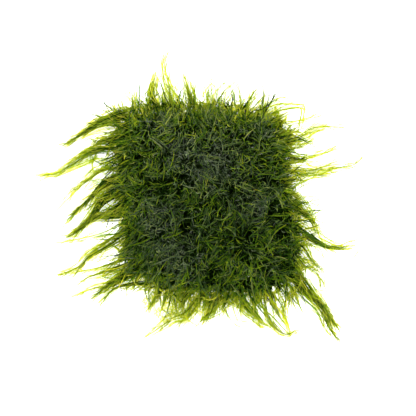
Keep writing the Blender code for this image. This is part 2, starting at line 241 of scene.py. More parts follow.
# Looks of the locks: the strands in each mm of their width, and how many of them are dark, the
# reach of the leaves on their axis and on their sides, the lime strands in each mm under them,
# how far apart the fine strands beside them are, the ages of their roots and of their tips, and
# how late a strand turns young
Look = namedtuple("Look", "strands dark axis_reach side_reach backing companions ages late")
LOOKS = {
    "dark": Look(5, 0.6, (0.7, 1.1), (0.5, 0.8), 0, 3 * MM, ((0.06, 0.2), (0.6, 0.9)), 3.5),
    "plain": Look(
        4.5, 0.45, (0.55, 0.95), (0.4, 0.7), 0.5, 1.6 * MM, ((0.3, 0.65), (0.85, 1.0)), 1.3
    ),
    "lime": Look(
        4.5, 0.2, (0.5, 0.85), (0.35, 0.65), 0.6, 1.6 * MM, ((0.45, 0.75), (0.85, 1.0)), 1.0
    ),
    "pale": Look(
        3, 0.15, (0.3, 0.5), (0.25, 0.45), 0.2, 2.6 * MM, ((0.6, 0.9), (0.85, 1.0)), 1.0
    ),
}

# Thin shoots between the locks: (age, [points from root to tip]) in mm
THIN_SHOOTS = [
    (0.25, [(-58, 38.5), (-62, 40.3), (-68, 40.3)]),
    (0.30, [(-64, 22.5), (-66.6, 21.3), (-72.8, 16.6)]),
    (0.95, [(-46, -28), (-50, -30.7), (-60, -31.2), (-70, -30.7)]),
    (0.85, [(-51, -23), (-54, -27), (-58.8, -34.8)]),
    (0.60, [(-36, -38), (-41.6, -43), (-42.1, -50.4)]),
    (0.95, [(-26, 50), (-29.6, 57.7), (-27.6, 68.1)]),
    (0.95, [(-27, 50), (-31, 55), (-33.8, 57.7)]),
    (0.90, [(-4, 52), (-0.5, 58.2), (2.1, 60.8), (4, 57), (1, 53)]),
    (0.08, [(20, 43), (23.4, 46.3), (27, 46.8), (30.2, 48.9), (32.8, 51), (34.8, 52.8)]),
    (0.95, [(30, 50), (34.8, 52.8), (39.5, 53.6), (44, 52)]),
    (0.90, [(40, 33), (45.8, 38), (47.3, 41.6), (49.4, 43.7)]),
    (0.95, [(44, 44), (48, 46.5), (49.4, 49.6), (52, 52.5)]),
    (0.95, [(46, 29), (57.2, 30.2), (62.4, 30.7)]),
    (0.85, [(42, 17.5), (47.8, 18.2), (63.4, 17.2)]),
    (0.90, [(74, -24), (77, -25.2), (77.5, -27), (73.8, -30.7)]),
    (0.85, [(50, -21), (54.6, -23.4), (58.2, -25), (60.8, -31.2)]),
    (0.60, [(52, -21), (55.6, -24.4), (58.8, -27.6), (59.8, -30.2), (57.2, -33.3)]),
    (0.30, [(51, -33), (53, -36.9), (56.2, -44.7)]),
    (0.85, [(41, -49), (43.7, -53), (46.3, -57.2)]),
    (0.90, [(22, -60), (26, -64.5), (30.2, -67.1)]),
    (0.95, [(38, -62), (41.6, -64), (45.8, -65)]),
    (0.90, [(-14, -58), (-9.4, -62.4), (-4.2, -64.7), (-2, -62)]),
    (0.70, [(-4, -61), (1, -60.8), (7.3, -57.7), (10.9, -55.6)]),
    (0.95, [(-24, -56), (-18, -61), (-13, -63.5)]),
    (0.60, [(18, -50), (16.6, -55), (15.6, -60.2), (20.1, -62.8), (25.3, -61.9)]),
    (0.85, [(26, -60), (29.6, -63.4), (35.7, -68), (40.9, -70.2), (43.5, -70.2), (47.8, -67.1)]),
    (0.80, [(41, -40), (42.6, -45.2), (43.2, -51.5), (42.6, -58.2)]),
    (0.80, [(43, -43), (46.1, -50.4), (47.3, -55)]),
    (0.75, [(-13, 46), (-16, 54), (-20, 59.5), (-22.5, 68), (-21.5, 75), (-17.5, 82.5)]),
    (0.75, [(8, 50), (13.5, 58), (19.5, 65.5)]),
    (0.70, [(4, 52), (5.5, 58.5), (9, 61.5), (14, 63)]),
    (0.75, [(58, 15.5), (66, 17), (76, 19), (82, 24.5)]),
    (0.75, [(54, 37.5), (60, 38.5), (72, 38)]),
    (0.75, [(52, 16.5), (57, 17), (70, 22)]),
    (0.75, [(52, 23), (60, 25), (69, 27.5)]),
    (0.75, [(-74, 17.5), (-80, 14.5), (-91, 13.5)]),
    (0.75, [(-67.5, 6.5), (-71, 2.5), (-77, -2)]),
    (0.75, [(-64, -19), (-72, -21), (-80, -22)]),
    (0.80, [(-67, -34), (-72, -37), (-78.5, -39)]),
    (0.80, [(-59, -45), (-66, -48), (-73, -50.5)]),
    (0.60, [(60.5, -58.5), (63, -66), (66, -71), (69.5, -74)]),
]

# Strong shoots that lie apart, in the same form
STRONG_SHOOTS = [
    (0.72, [
        (27, 46), (34.8, 49.7), (42, 50.2), (49.2, 49.7), (50, 48.6), (49.2, 42), (48.3, 36.9),
    ]),
    (0.80, [(30, 44), (38, 47), (46, 48.2), (48.5, 47.3), (47.5, 41), (46.5, 35)]),
    (0.75, [(22, -38), (25.3, -45.4), (27.9, -54.1), (30.5, -60.2), (33.1, -64.5), (31.2, -66)]),
    (0.82, [(28, -45), (33.1, -51.5), (38.3, -58.4), (41.8, -65.4), (43.5, -69.7)]),
    (0.80, [(34, -44), (38.3, -50.4), (40.9, -56.7), (41.8, -63.4), (43.1, -69.7)]),
    (0.75, [(22, -47), (27, -54.1), (33.8, -60.2), (39, -66), (43.2, -70.2)]),
    (0.70, [(15, -47), (20.1, -54.1), (25.3, -60.2), (31.2, -65.4)]),
    (0.40, [(16, -42), (18.2, -47.8), (20.8, -53), (25.3, -58.2), (28.6, -62.8)]),
    (0.35, [(20, -44), (22.5, -50), (27, -56), (32, -62)]),
    (0.32, [(45, -14), (52, -18.6), (58, -22.4), (64, -24.7), (70.5, -25.1)]),
    (0.34, [(45, -12.5), (52, -17.2), (58, -21.2), (64, -23.5), (71.5, -24)]),
    (0.85, [(62, -24.8), (68, -25.4), (73, -25), (75.5, -24.6)]),
]

# Roots of the locks that are dark green almost to their tips, and of the lime ones, in mm
DARK_LOCK_ROOTS = {(14, 44), (-45, 12.5), (-43, 8), (-37, -35), (43, -12), (-41, 0.5)}
LIME_LOCK_ROOTS = {
    (-40, -15.5), (-38, 44), (6, -46), (44, -19), (-22, -43), (-19, -44), (-14, -45), (-8, -46),
    (12, -46), (28, 39),
}

# Patches of short shoots with a painted grey sheen: (x, y, radius) in mm
SHEEN_PATCHES = [
    (1, 18, 14), (-24, -9, 9), (22, -3, 9), (-17, -26, 10), (-25, 40, 8), (27, 37, 6), (4, 42, 5),
    (-14, 24, 8),
]

# Gaps at the edge through which the floor shows: (x, y, radius) in mm
GAPS = [
    (-53.6, 35.9, 2.6), (-56.2, 36.4, 2.6), (-52.5, 24.4, 3.1), (-55.6, 13, 3.1),
    (-49.9, -1.6, 1.8), (-53.6, -3.1, 1.8), (-46.8, -10.9, 1.6), (-51, -11.4, 1.6),
    (-48.4, -15.6, 1.8), (-53, -16.6, 2.1), (-46.8, -21.8, 1.6), (-48.4, -27, 1.8),
    (-52.5, -27.6, 1.8), (-44.7, -32.2, 1.3), (-54.6, -31.7, 2.6), (-41.6, -41.6, 1.8),
    (-36.4, -47.3, 4.2), (-41.1, -48.4, 3.6), (-29.1, -44.7, 1.6), (-23.9, -48.9, 1.6),
    (-7.8, -48.4, 1.3), (-17.2, -51.5, 1.3), (-11.4, -53, 1.3), (-26, -54.1, 1.3),
    (19.8, -50.4, 2.1), (13, -57.2, 2.1), (16.1, -59.8, 2.1), (34, -45, 1.8), (43.5, -43.5, 1.3),
    (36.9, 48.4, 2.1), (33.3, 48.4, 1.8), (38.5, 50.4, 2.1), (42.6, 42.1, 3.1), (35.4, 43.2, 1.3),
    (31.2, -53, 1.3), (36.4, -55.6, 2.1), (28.1, -57.2, 1.6), (43.7, -56.7, 4.2),
    (47.3, -54.6, 3.1), (37.4, -62.9, 2.1), (52, -12.5, 2.1), (55.1, -18.2, 1.8),
    (48.4, -21.3, 1.3), (51.5, -24.4, 1.6), (56.2, -27.6, 2.6), (49.4, -32.2, 1.3),
    (51.5, -36.4, 1.6), (54.6, -40.6, 3.1), (47.3, 5.7, 1.8), (48.4, 18.7, 2.1), (44.2, 18.7, 1.3),
    (48.4, 26.5, 2.1), (52, 26.5, 2.1), (40, 38.5, 1.8), (42.1, 47.3, 3.1), (45.8, 45.8, 3.6),
    (46.3, 40, 3.6), (-3.6, 53.6, 1.8), (23.4, 48.4, 1.6), (10.9, 54.1, 1.6), (-35.4, 53.6, 2.1),
    (-42.6, 50.4, 2.1), (55.1, 7.8, 2.6), (53, 1.6, 2.1), (51, -3.6, 1.3), (37.5, -49.1, 2.6),
    (41.4, -46, 1.6), (-34.1, -41.5, 1.2), (-49.4, 17.3, 1.2), (49.2, -28.6, 1.2),
    (-44.4, 41.5, 1.2), (-47.7, -1.4, 1),
]

# The mat of loops at the lower left: its middle and its half widths
LOOP_MAT_MIDDLE = np.array((-17, -53)) * MM
LOOP_MAT_HALF = np.array((14, 7)) * MM


def unit(vectors):
    """Each vector at length one."""
    return vectors / np.maximum(np.linalg.norm(vectors, axis=-1, keepdims=True), 1e-12)


def to_the_left(vectors):
    """Each vector turned a quarter turn to the left."""
    return np.stack([-vectors[:, 1], vectors[:, 0]], 1)


def read_off(curve, at, known):
    """Points of a curve at the places at, where its own points are at the places known."""
    return np.stack([np.interp(at, known, curve[:, k]) for k in (0, 1)], 1)


def eased(before, start, end, beyond, t):
    """Points of the smooth curve through four points, at the shares t from start to end."""
    last = t * (3 * (start - end) + beyond - before)
    middle = t * (2 * before - 5 * start + 4 * end - beyond + last)
    return start + 0.5 * t * (end - before + middle)


def closed_curve(corners, steps):
    """A smooth closed curve through corner points, as an array."""
    corners = np.array(corners) * MM
    before, after, beyond = (np.roll(corners, shift, 0) for shift in (1, -1, -2))
    t = (np.arange(steps) / steps)[None, :, None]
    before, start, end, beyond = (c[:, None] for c in (before, corners, after, beyond))
    curve = eased(before, start, end, beyond, t)
    return curve.reshape(-1, 2)


OUTLINE = closed_curve(CUSHION_OUTLINE, OUTLINE_STEPS)


def depth_inside(points):
    """How far inside the cushion's outline each point lies, below zero outside it."""
    a, b = OUTLINE, np.roll(OUTLINE, -1, 0)
    p = points[:, None, :]
    share = np.clip(((p - a) * (b - a)).sum(-1) / ((b - a) ** 2).sum(-1), 0, 1)
    distance = np.linalg.norm(a + (b - a) * share[..., None] - p, axis=-1).min(1)
    straddles = (a[:, 1] > p[..., 1]) != (b[:, 1] > p[..., 1])
    slope = (b[:, 0] - a[:, 0]) / np.where(b[:, 1] == a[:, 1], 1, b[:, 1] - a[:, 1])
    crossings = straddles & (p[..., 0] < a[:, 0] + (p[..., 1] - a[:, 1]) * slope)
    return np.where(crossings.sum(1) % 2 == 1, distance, -distance)


def outward(points):
    """Unit vectors that point the shortest way out of the cushion."""
    shifts = np.array(((MM, 0), (0, MM)))
    slopes = [depth_inside(points - shift) - depth_inside(points + shift) for shift in shifts]
    return unit(np.stack(slopes, 1))


def smooth_noise(points, spacing, layer):
    """Slow noise between -1 and 1 at each point."""
    return np.array([noise.noise(Vector((x / spacing, y / spacing, layer))) for x, y in points])


def cushion_height(points):
    """Height of the cushion's upper side, as in the model."""
    share = np.clip(depth_inside(points) / DOME_REACH, 0, 1)
    dome = CUSHION_RIM + (CUSHION_CROWN - CUSHION_RIM) * (1 - (1 - share) ** DOME_ROUNDNESS)
    return dome + smooth_noise(points, LUMP_SPACING, 0) * LUMP_HEIGHT * np.minimum(1, 2 * share)


def looked_up(function):
    """A quick version of a function of points, interpolated on a grid."""
    low, high = OUTLINE.min(0) - GRID_MARGIN, OUTLINE.max(0) + GRID_MARGIN
    across, along = (np.arange(low[i], high[i] + GRID_STEP, GRID_STEP) for i in (0, 1))
    corners = np.stack(np.meshgrid(across, along, indexing="ij"), -1)
    values = function(corners.reshape(-1, 2)).reshape(len(across), len(along))

    def look(points):
        spot = np.clip((points - low) / GRID_STEP, 0, np.array(values.shape) - 1.001)
        cell = spot.astype(int)
        (i, j), (u, v) = cell.T, (spot - cell).T
        near = values[i, j] * (1 - v) + values[i, j + 1] * v
        far = values[i + 1, j] * (1 - v) + values[i + 1, j + 1] * v
        return near * (1 - u) + far * u

    return look


quick_depth = looked_up(depth_inside)
quick_height = looked_up(cushion_height)


def openness(points):
    """1 at the cushion's surface and edge, down to the deepest shade inside it."""
    below = quick_height(points[:, :2]) + SHADE_START - points[:, 2]
    share = np.clip(1 - below / SHADE_DEPTH, DEEPEST_SHADE, 1) ** SHADE_POWER
    reach = SHADE_EDGE * (1 + np.clip(points[:, 1] / HALF_SIDE, 0, 1))
    return np.maximum(share, np.clip(1 - quick_depth(points[:, :2]) / reach, 0, 1))


def scatter(dice, count, keep):
    """Random points in the cushion's box that keep lets through, count of them in all."""
    low, high = OUTLINE.min(0), OUTLINE.max(0)
    found = np.empty((0, 2))
    while len(found) < count:
        points = dice.uniform(low, high, (count, 2))
        found = np.concatenate([found, points[keep(points)]])
    return found[:count]


def sheen_greyness(points):
    """1 in the middle of a patch of painted grey sheen, 0 away from the patches."""
    share = np.zeros(len(points))
    for x, y, radius in SHEEN_PATCHES:
        distance = np.linalg.norm(points - np.array((x, y)) * MM, axis=1) / (radius * MM)
        share = np.maximum(share, np.exp(-(distance**2) * 1.4))
    return share * np.clip((depth_inside(points) - 4 * MM) / (8 * MM), 0, 1)


def within(points, middle, half):
    """1 in the middle of a round patch, and soon 0 outside its half widths."""
    return np.exp(-(np.linalg.norm((points - middle) / half, axis=1) ** 2))


def in_loop_mat(points):
    """1 in the middle of the mat of loops, 0 away from it."""
    return within(points, LOOP_MAT_MIDDLE, LOOP_MAT_HALF)


def near_edge(points):
    """1 at the cushion's edge and beyond it, down to 0 at EDGE_BAND inside it."""
    return np.clip(1 - depth_inside(points) / EDGE_BAND, 0, 1)


def drawn_sheen_grey(dice, roots, least, more, stray):
    """How much painted grey sheen each shoot has: the more so in the patches."""
    return np.clip(least + more * sheen_greyness(roots) + dice.normal(0, stray, len(roots)), 0, 1)


def low_edge(points):
    """1 at the lower edge of the picture, where the rim is open, 0 above the middle."""
    return np.clip(-points[:, 1] / HALF_SIDE, 0, 1) ** 2


def looseness(points):
    """0 at the cushion's edge, where shoots are combed outwards, 1 where they go any way."""
    return np.clip((depth_inside(points) - 5 * MM) / (12 * MM), 0, 1)


def leaning(normal, down, more=0.0):
    """The angle of the way out, turned down the picture, by more of it at the left."""
    return np.arctan2(normal[:, 1] - (down + more * np.maximum(0, -normal[:, 0])), normal[:, 0])


def warmth(points):
    """The range of luck of the crown's shoots: higher at the top, where they are more olive."""
    middle = 0.55 + 0.2 * np.clip(points[:, 1] / HALF_SIDE, -0.3, 1)
    return middle - 0.4, middle + 0.35


def room_ahead(points, angle, beyond):
    """How far shoots can go at their angle until they are a given way beyond the outline."""
    heading = np.stack([np.cos(angle), np.sin(angle)], 1)
    facing = np.maximum((heading * outward(points)).sum(1), 0.25)
    return np.maximum((depth_inside(points) + beyond) / facing, 4 * MM)


def grow(roots, height, angle, rises, length, steps, turn, wobble, dice):
    """Paths of shoots that climb at rises[0], bend over to rises[1] and curl sideways."""
    step = np.reshape(length / steps, (-1, 1))
    phase = dice.uniform(*ANY_WAY, (2, len(roots)))
    paths = [np.column_stack([roots, np.broadcast_to(height, len(roots))])]
    for i in range(steps):
        share = (i + 0.5) / steps
        rise = rises[0] + (rises[1] - rises[0]) * share
        rise = rise + wobble * 0.6 * np.sin(5 * share + phase[0])
        heading = angle + turn * share + wobble * np.sin(7 * share + phase[1])
        level = np.cos(rise)
        move = np.stack([level * np.cos(heading), level * np.sin(heading), np.sin(rise)], 1)
        paths.append(paths[-1] + move * step)
    return np.stack(paths, 1)


def beside_gaps(paths, dice):
    """Which shoots pass beside the gaps at the cushion's edge."""
    nearness = np.zeros(len(paths))
    stretch = dice.uniform(0.6, 1.3, len(paths)) * MM
    for x, y, radius in GAPS:
        distance = np.linalg.norm(paths[..., :2] - np.array((x, y)) * MM, axis=2).min(1)
        nearness = np.maximum(nearness, np.exp(-((distance / (radius * stretch)) ** 4)))
    return dice.random(len(paths)) > GAP_STRENGTH * nearness


def leafy(paths, reach, rows, dice):
    """Points and triangles of shoots with rows of overlapping leaves pressed to their stems."""
    count, nodes = paths.shape[:2]
    leaves = nodes - LEAF_TIP_NODES
    along = unit(np.gradient(paths, axis=1))
    side = unit(np.cross(along, LEAF_UP_HINT))
    up = np.cross(side, along)
    share = np.linspace(0, 1, nodes)
    base = share[:leaves]
    size = reach[:, None] * (1 - LEAF_TAPER * base**3) * np.minimum(1, 0.5 + 4 * base)
    roll = dice.normal(0, 0.4, (count, 1)) + base * dice.normal(0, 0.9, (count, 1))
    first = np.arange(leaves)
    pieces, faces = [paths], []
    for row, (place, scale) in enumerate(rows):
        angle = roll + place + dice.uniform(-0.25, 0.25, (count, leaves))
        out = (
            np.cos(angle)[..., None] * side[:, LEAF_TIP_NODES:]
            + np.sin(angle)[..., None] * up[:, LEAF_TIP_NODES:]
        )
        width = scale * size * dice.uniform(0.8, 1.2, (count, leaves))
        pieces.append(paths[:, LEAF_TIP_NODES:] + out * width[..., None])
        faces.append(np.stack([first, first + LEAF_BASE_NODES, nodes + row * leaves + first], 1))
    points = np.concatenate(pieces, 1)
    faces = np.concatenate(faces)[None] + (np.arange(count) * points.shape[1])[:, None, None]
    shares = np.tile(share[LEAF_TIP_NODES:], count * len(rows))
    return points.reshape(-1, 3), faces.reshape(-1, 3), shares


class Foliage:
    """All the shoots of one piece, gathered until they are joined in one mesh."""

    def __init__(self, dice):
        self.dice, self.total = dice, 0
        self.points, self.faces, self.tones = [], [], []

    def add(self, paths, reach, ages, rows=FLAT_ROWS, grey=0.0, luck=(0, 1), grown=1.0,
            late=1.0, shaded=False, crossing=False):
        """Adds shoots.

        reach is in LEAF_REACH. ages are those of root and tip; the tip's is reached at the share
        grown of the way, and the later the higher late is. luck is its range. Shaded shoots get
        painted shade where they lie deep under the cushion's surface, the others painted shade
        deep inside its outline, and all of them painted light and shade in dashes along the shoot.
        Crossing ones also run over the gaps.
        """
        dice = self.dice
        values = [np.broadcast_to(v, len(paths)) for v in (reach, *ages, *luck, grey)]
        if not crossing:
            kept = beside_gaps(paths, dice)
            values, paths = [v[kept] for v in values], paths[kept]
            if not len(paths):
                return
        reach, root, tip, low, high, grey = values
        reach = LEAF_REACH * reach
        paths[..., 2] = np.maximum(paths[..., 2], FLOOR_GAP + reach[:, None] * 0.5)
        points, faces, share = leafy(paths, reach, rows, dice)
        points[:, 2] = np.maximum(points[:, 2], FLOOR_GAP)
        luck = dice.uniform(low, high, len(paths)).clip(0, 1)
        grey = np.round(grey * (GREY_LEVELS - 1)) / (GREY_LEVELS - 1)
        each = len(faces) // len(paths)
        root, tip, luck, grey = (np.repeat(v, each) for v in (root, tip, luck, grey))
        age = root + (tip - root) * np.minimum(1, share / grown) ** late
        age = age + dice.normal(LEAF_LIGHTER, LEAF_UNEVENNESS[shaded], len(faces))
        pace, start = (
            np.repeat(dice.uniform(*ends, len(paths)), each) for ends in (DASH_PACES, DASH_STARTS)
        )
        # Painted light and shade: lighter and darker dashes along the shoot
        age = age + DASH_STRENGTH * np.sin(share * pace + start)
        tips = points[faces[:, 2]]
        # Painted shade: leaves deep under the cushion's surface, or deep inside its outline, are
        # darkened
        if shaded:
            age = age * openness(tips)
        else:
            deep = np.clip((quick_depth(tips[:, :2]) - DEEP_FROM) / (DEEP_TO - DEEP_FROM), 0, 1)
            age = age * (1 - (1 - DEEP_SHADE) * deep)
        ages = np.stack([age, age, age + LEAF_TIP_LIGHTER[shaded] * (1 - age.clip(0, 1)) ** 2], 1)
        others = np.stack([luck, grey, np.ones(len(faces))], 1)
        tone = np.column_stack([ages.clip(0, 1).ravel(), np.repeat(others, 3, 0)])
        self.points.append(points)
        self.faces.append(faces + self.total)
        self.tones.append(tone)
        self.total += len(points)

    def build(self, name, material):
        """Makes the mesh object of all the shoots."""
        points, faces = np.concatenate(self.points), np.concatenate(self.faces)
        mesh = bpy.data.meshes.new(name)
        mesh.from_pydata(points, [], faces, shade_flat=False)
        tone = mesh.color_attributes.new("tone", "FLOAT_COLOR", "CORNER")
        tones = np.concatenate(self.tones)
        tone.data.foreach_set("color", tones.astype(np.float32).ravel())
        places = mesh.uv_layers.new(name="OFBake")
        places.data.foreach_set("uv", tone_places(tones).astype(np.float32).ravel())
        mesh.materials.append(material)
        piece = bpy.data.objects.new(name, mesh)
        bpy.context.scene.collection.objects.link(piece)
        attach(piece, "root")
        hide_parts("spiky_moss")


def tone_places(tones):
    """A place on the map for each corner by its tone, so that like leaves share their pixels."""
    row = (GREY_LEVELS - 1) * tones[:, 2] + MAP_UP[0] + MAP_UP[1] * tones[:, 1]
    places = np.stack([MAP_ACROSS[0] + MAP_ACROSS[1] * tones[:, 0], row / GREY_LEVELS], 1)
    return places + np.tile(LEAF_ON_MAP, (len(tones) // 3, 1))


def smooth_path(plan, steps):
    """An open smooth curve through a lock's points, with evenly spaced points, and its length."""
    corners = np.array(plan) * MM
    ends = [2 * corners[:1] - corners[1:2], corners, 2 * corners[-1:] - corners[-2:-1]]
    p = np.concatenate(ends)
    t = np.linspace(0, 1, 12, endpoint=False)[None, :, None]
    before, start, end, beyond = (p[i : len(p) - 3 + i, None] for i in range(4))
    curve = eased(before, start, end, beyond, t)
    curve = np.concatenate([curve.reshape(-1, 2), corners[-1:]])
    lengths = np.concatenate([[0], np.cumsum(np.linalg.norm(np.diff(curve, axis=0), axis=1))])
    even = np.linspace(0, lengths[-1], steps + 1)
    return read_off(curve, even, lengths), lengths[-1]


def lock_height(points):
    """Height of the middle of a lock: over the cushion first, then falling until it lies down."""
    outside = np.maximum(0, -depth_inside(points))
    fall = np.maximum(0, 1 - outside / LOCK_LANDING) ** LOCK_FALL
    over = quick_height(points) - CUSHION_RIM
    return over + (LOCK_FLOOR + (LOCK_ROOT_HEIGHT - LOCK_FLOOR) * fall)


class Lock:
    """The middle line of a lock, which its strands follow."""

    def __init__(self, width, plan):
        root, second = np.array(plan[:2])
        back = LOCK_INWARDS if root[0] < LEFT_LOCKS_BELOW else LOCK_INWARDS / 4
        inwards = tuple(root - back * unit(second - root))
        self.width, self.root = width, plan[0]
        self.route, self.length = smooth_path([inwards] + plan, LOCK_SAMPLES)
        self.height = lock_height(self.route)
        self.sideways = to_the_left(unit(np.gradient(self.route, axis=0)))

    def look(self):
        """The kind of strands the lock is made of."""
        x, y = self.root
        if self.root in DARK_LOCK_ROOTS:
            return "dark"
        if y > 40 and self.width < 1.7 or x > 30 and y > 1:
            return "pale"
        lime = self.root in LIME_LOCK_ROOTS or self.width < LIME_BELOW or y < LOWER_LOCKS_BELOW
        return "lime" if lime else "plain"

    def fullness(self):
        """How many times as many strands as usual the lock has."""
        x, y = self.root
        if y > 35 and x > 15:
            return 3
        if y > 40:
            return 1.6
        if y < -40:
            return 1.8
        return 1.3 if x < 0 else 1

    def waviness(self):
        """How much more than usual the strands swing from side to side."""
        return 1.6 if self.root[1] < LOWER_LOCKS_BELOW else 1

    def ends(self, dice):
        """Where a strand ends, as a share of the way: all close to the tip in a blunt lock."""
        if self.width > BLUNT_FROM or self.look() == "dark":
            return dice.uniform(0.65, 1) ** 0.5
        y = self.root[1]
        return dice.uniform(0.35, 1) ** (1.0 if y > 43 else 0.5 if y < -40 else 0.75)

    def spots(self, start, end):
        """Shares of the way along the lock from start to end, one to each leaf."""
        steps = max(8, int(round(self.length * (end - start) / LEAF_SPACING)))
        return np.linspace(start, end, steps + 1)

    def strand(self, spots, aside, lift):
        """A path along the lock, moved sideways by aside and up by lift."""
        at, known = spots * LOCK_SAMPLES, np.arange(LOCK_SAMPLES + 1)
        base, side = (read_off(line, at, known) for line in (self.route, self.sideways))
        z = np.interp(at, known, self.height) + lift
        return np.column_stack([base + side * aside[:, None], z])[None]


def add_main_strands(foliage, lock, dice):
    """Strands that fan out at the lock's root and draw together at its tip."""
    name, width = lock.look(), lock.width
    look, dark = LOOKS[name], name == "dark"
    each = look.strands * lock.fullness() ** 0.5 * np.clip(width / 2.5, 0.4, 1)
    count = 1 + int(round(width * each))
    places = dice.permutation(np.linspace(-1, 1, count)) * 1.1
    pace, start = dice.uniform(3, 7) * lock.waviness(), dice.uniform(0, 6)
    for i in range(count):
        axis = i <= AXIS_SHARE * count
        spots = lock.spots(dice.uniform(0, 0.3), 1.0 if i == 0 else lock.ends(dice))
        place = 0 if i == 0 else places[i]
        wave = np.sin(spots * pace * dice.uniform(0.85, 1.15) + start + dice.normal(0, 0.4))
        narrowing = 0.6 * (1 - spots) ** 1.8 + (0.15 if dark else 0.25) * (1 - spots)
        stray = (0.4 if dark else 0.6) if axis else dice.uniform(1, 4) * lock.waviness()
        aside = (place * width * narrowing + wave * stray * (0.15 + 0.04 * min(width, 4))) * MM
        kind = name if axis or name == "pale" else "lime"
        kind = "dark" if 0 < i <= look.dark * count else kind
        lift = dice.uniform(-0.1, 0.3) + (0.35 if kind == "dark" else 0)
        path = lock.strand(spots, aside, lift * min(width, 4) * (1 - spots) * MM)
        root, tip = (dice.uniform(*ages) for ages in LOOKS[kind].ages)
        reach = dice.uniform(*(look.axis_reach if axis and kind == name else look.side_reach))
        luck = (0.35, 0.75) if kind == "pale" else (0.2, 0.75)
        foliage.add(path, reach, (root, tip), luck=luck, late=LOOKS[kind].late, crossing=axis)
        add_sprigs(foliage, path[0], tip, dice)


def add_backing(foliage, lock, dice):
    """Lime strands under the lock, so that the light between its strands is lime."""
    for _ in range(int(round(LOOKS[lock.look()].backing * lock.width))):
        spots = lock.spots(0.05, dice.uniform(0.6, 0.95))
        half = 0.55 * (1 - spots) ** 1.8 + 0.22 * (1 - spots)
        aside = dice.uniform(-1, 1) * lock.width * half * MM
        path = lock.strand(spots, aside, -1.5 * (1 - spots) * MM)
        foliage.add(path, dice.uniform(1.0, 1.4), (0.75, 0.95), luck=(0.3, 0.6))


def add_companions(foliage, lock, dice):
    """Fine strands beside the lock."""
    every = LOOKS[lock.look()].companions / lock.fullness()
    for _ in range(int(lock.length / every * np.clip(lock.width / 3, 0.5, 1.3))):
        spots = lock.spots(dice.uniform(0.1, 0.45), dice.uniform(0.55, 1.0))
        away = lock.width / 2 * (1 - spots) + dice.uniform(0, 4) * (1.2 - spots)
        wave = np.sin(spots * dice.uniform(3, 10) + dice.uniform(0, 6)) * dice.uniform(0.3, 1.2)
        aside = (dice.choice((-1, 1)) * away + wave) * MM
        path = lock.strand(spots, aside, dice.uniform(-1, 1) * (1 - spots) * MM)
        reach, tip = dice.uniform(0.35, 0.55), dice.uniform(0.75, 1.0)
        foliage.add(path, reach, (tip - 0.25, tip), luck=(0.3, 0.9))


def add_sprigs(foliage, path, tip, dice):
    """Short side shoots along a strand."""
    count = (len(path) - 10) // SPRIG_EVERY
    if count < 1:
        return
    nodes = dice.integers(3, len(path) - 4, count)
    ahead = unit(path[nodes + 1] - path[nodes])
    turn = dice.choice((-1, 1), count) * dice.uniform(0.25, 0.6, count)
    angle = leaning(ahead, 0) + turn
    length = dice.uniform(2.5, 9, count) * MM
    level = dice.uniform(-0.2, 0.3, count)
    roots, height = path[nodes, :2], path[nodes, 2]
    paths = grow(roots, height, angle, (level, level - 0.3), length, 11, -0.9 * turn, 0.12, dice)
    reach = dice.uniform(0.35, 0.65, count)
    foliage.add(paths, reach, (tip - 0.1, tip + 0.1), luck=(0.2, 0.8))


def add_locks(foliage, dice, locks):
    """One side's locks."""
    for width, plan in locks:
        lock = Lock(width, plan)
        add_main_strands(foliage, lock, dice)
        add_backing(foliage, lock, dice)
        add_companions(foliage, lock, dice)


def add_thin_shoots(foliage, dice):
    """The thin shoots between the locks."""
    for age, plan in THIN_SHOOTS + STRONG_SHOOTS:
        route, length = smooth_path(plan, THIN_SAMPLES)
        at = np.linspace(0, THIN_SAMPLES, int(round(length / LEAF_SPACING)) + 1)
        flat = read_off(route, at, np.arange(THIN_SAMPLES + 1))
        lift = (5 if age < DARK_SHOOT_BELOW else 2.5) * (1 - at / THIN_SAMPLES) ** 0.5 * MM
        path = np.column_stack([flat, lock_height(flat) + lift])[None]
        reach = 1.15 if (age, plan) in STRONG_SHOOTS else dice.uniform(0.5, 0.75)
        foliage.add(path, reach, (age - 0.1, age), luck=(0.4, 0.9), crossing=True)


def youth_and_glow_at(points):
    """How young and light shoots are: dark in the cushion, lime at its edge, where the lime is
    partly young growth and partly a painted glow of the light through the fringe.
    """
    uneven = smooth_noise(points, TUFT_SPACING, 7)
    return MIDDLE_YOUTH + 0.08 * uneven + EDGE_YOUTH_AND_GLOW * near_edge(points) ** 1.3


def drawn_together(paths, clump, pull):
    """The shoots of each clump, bent towards its first shoot as they go."""
    leaders = paths[np.searchsorted(clump, np.arange(clump[-1] + 1))]
    share = np.linspace(0, 1, paths.shape[1])[None, :, None]
    weight = pull[:, None, None] * share**1.3
    return paths + (leaders[clump] - paths) * weight


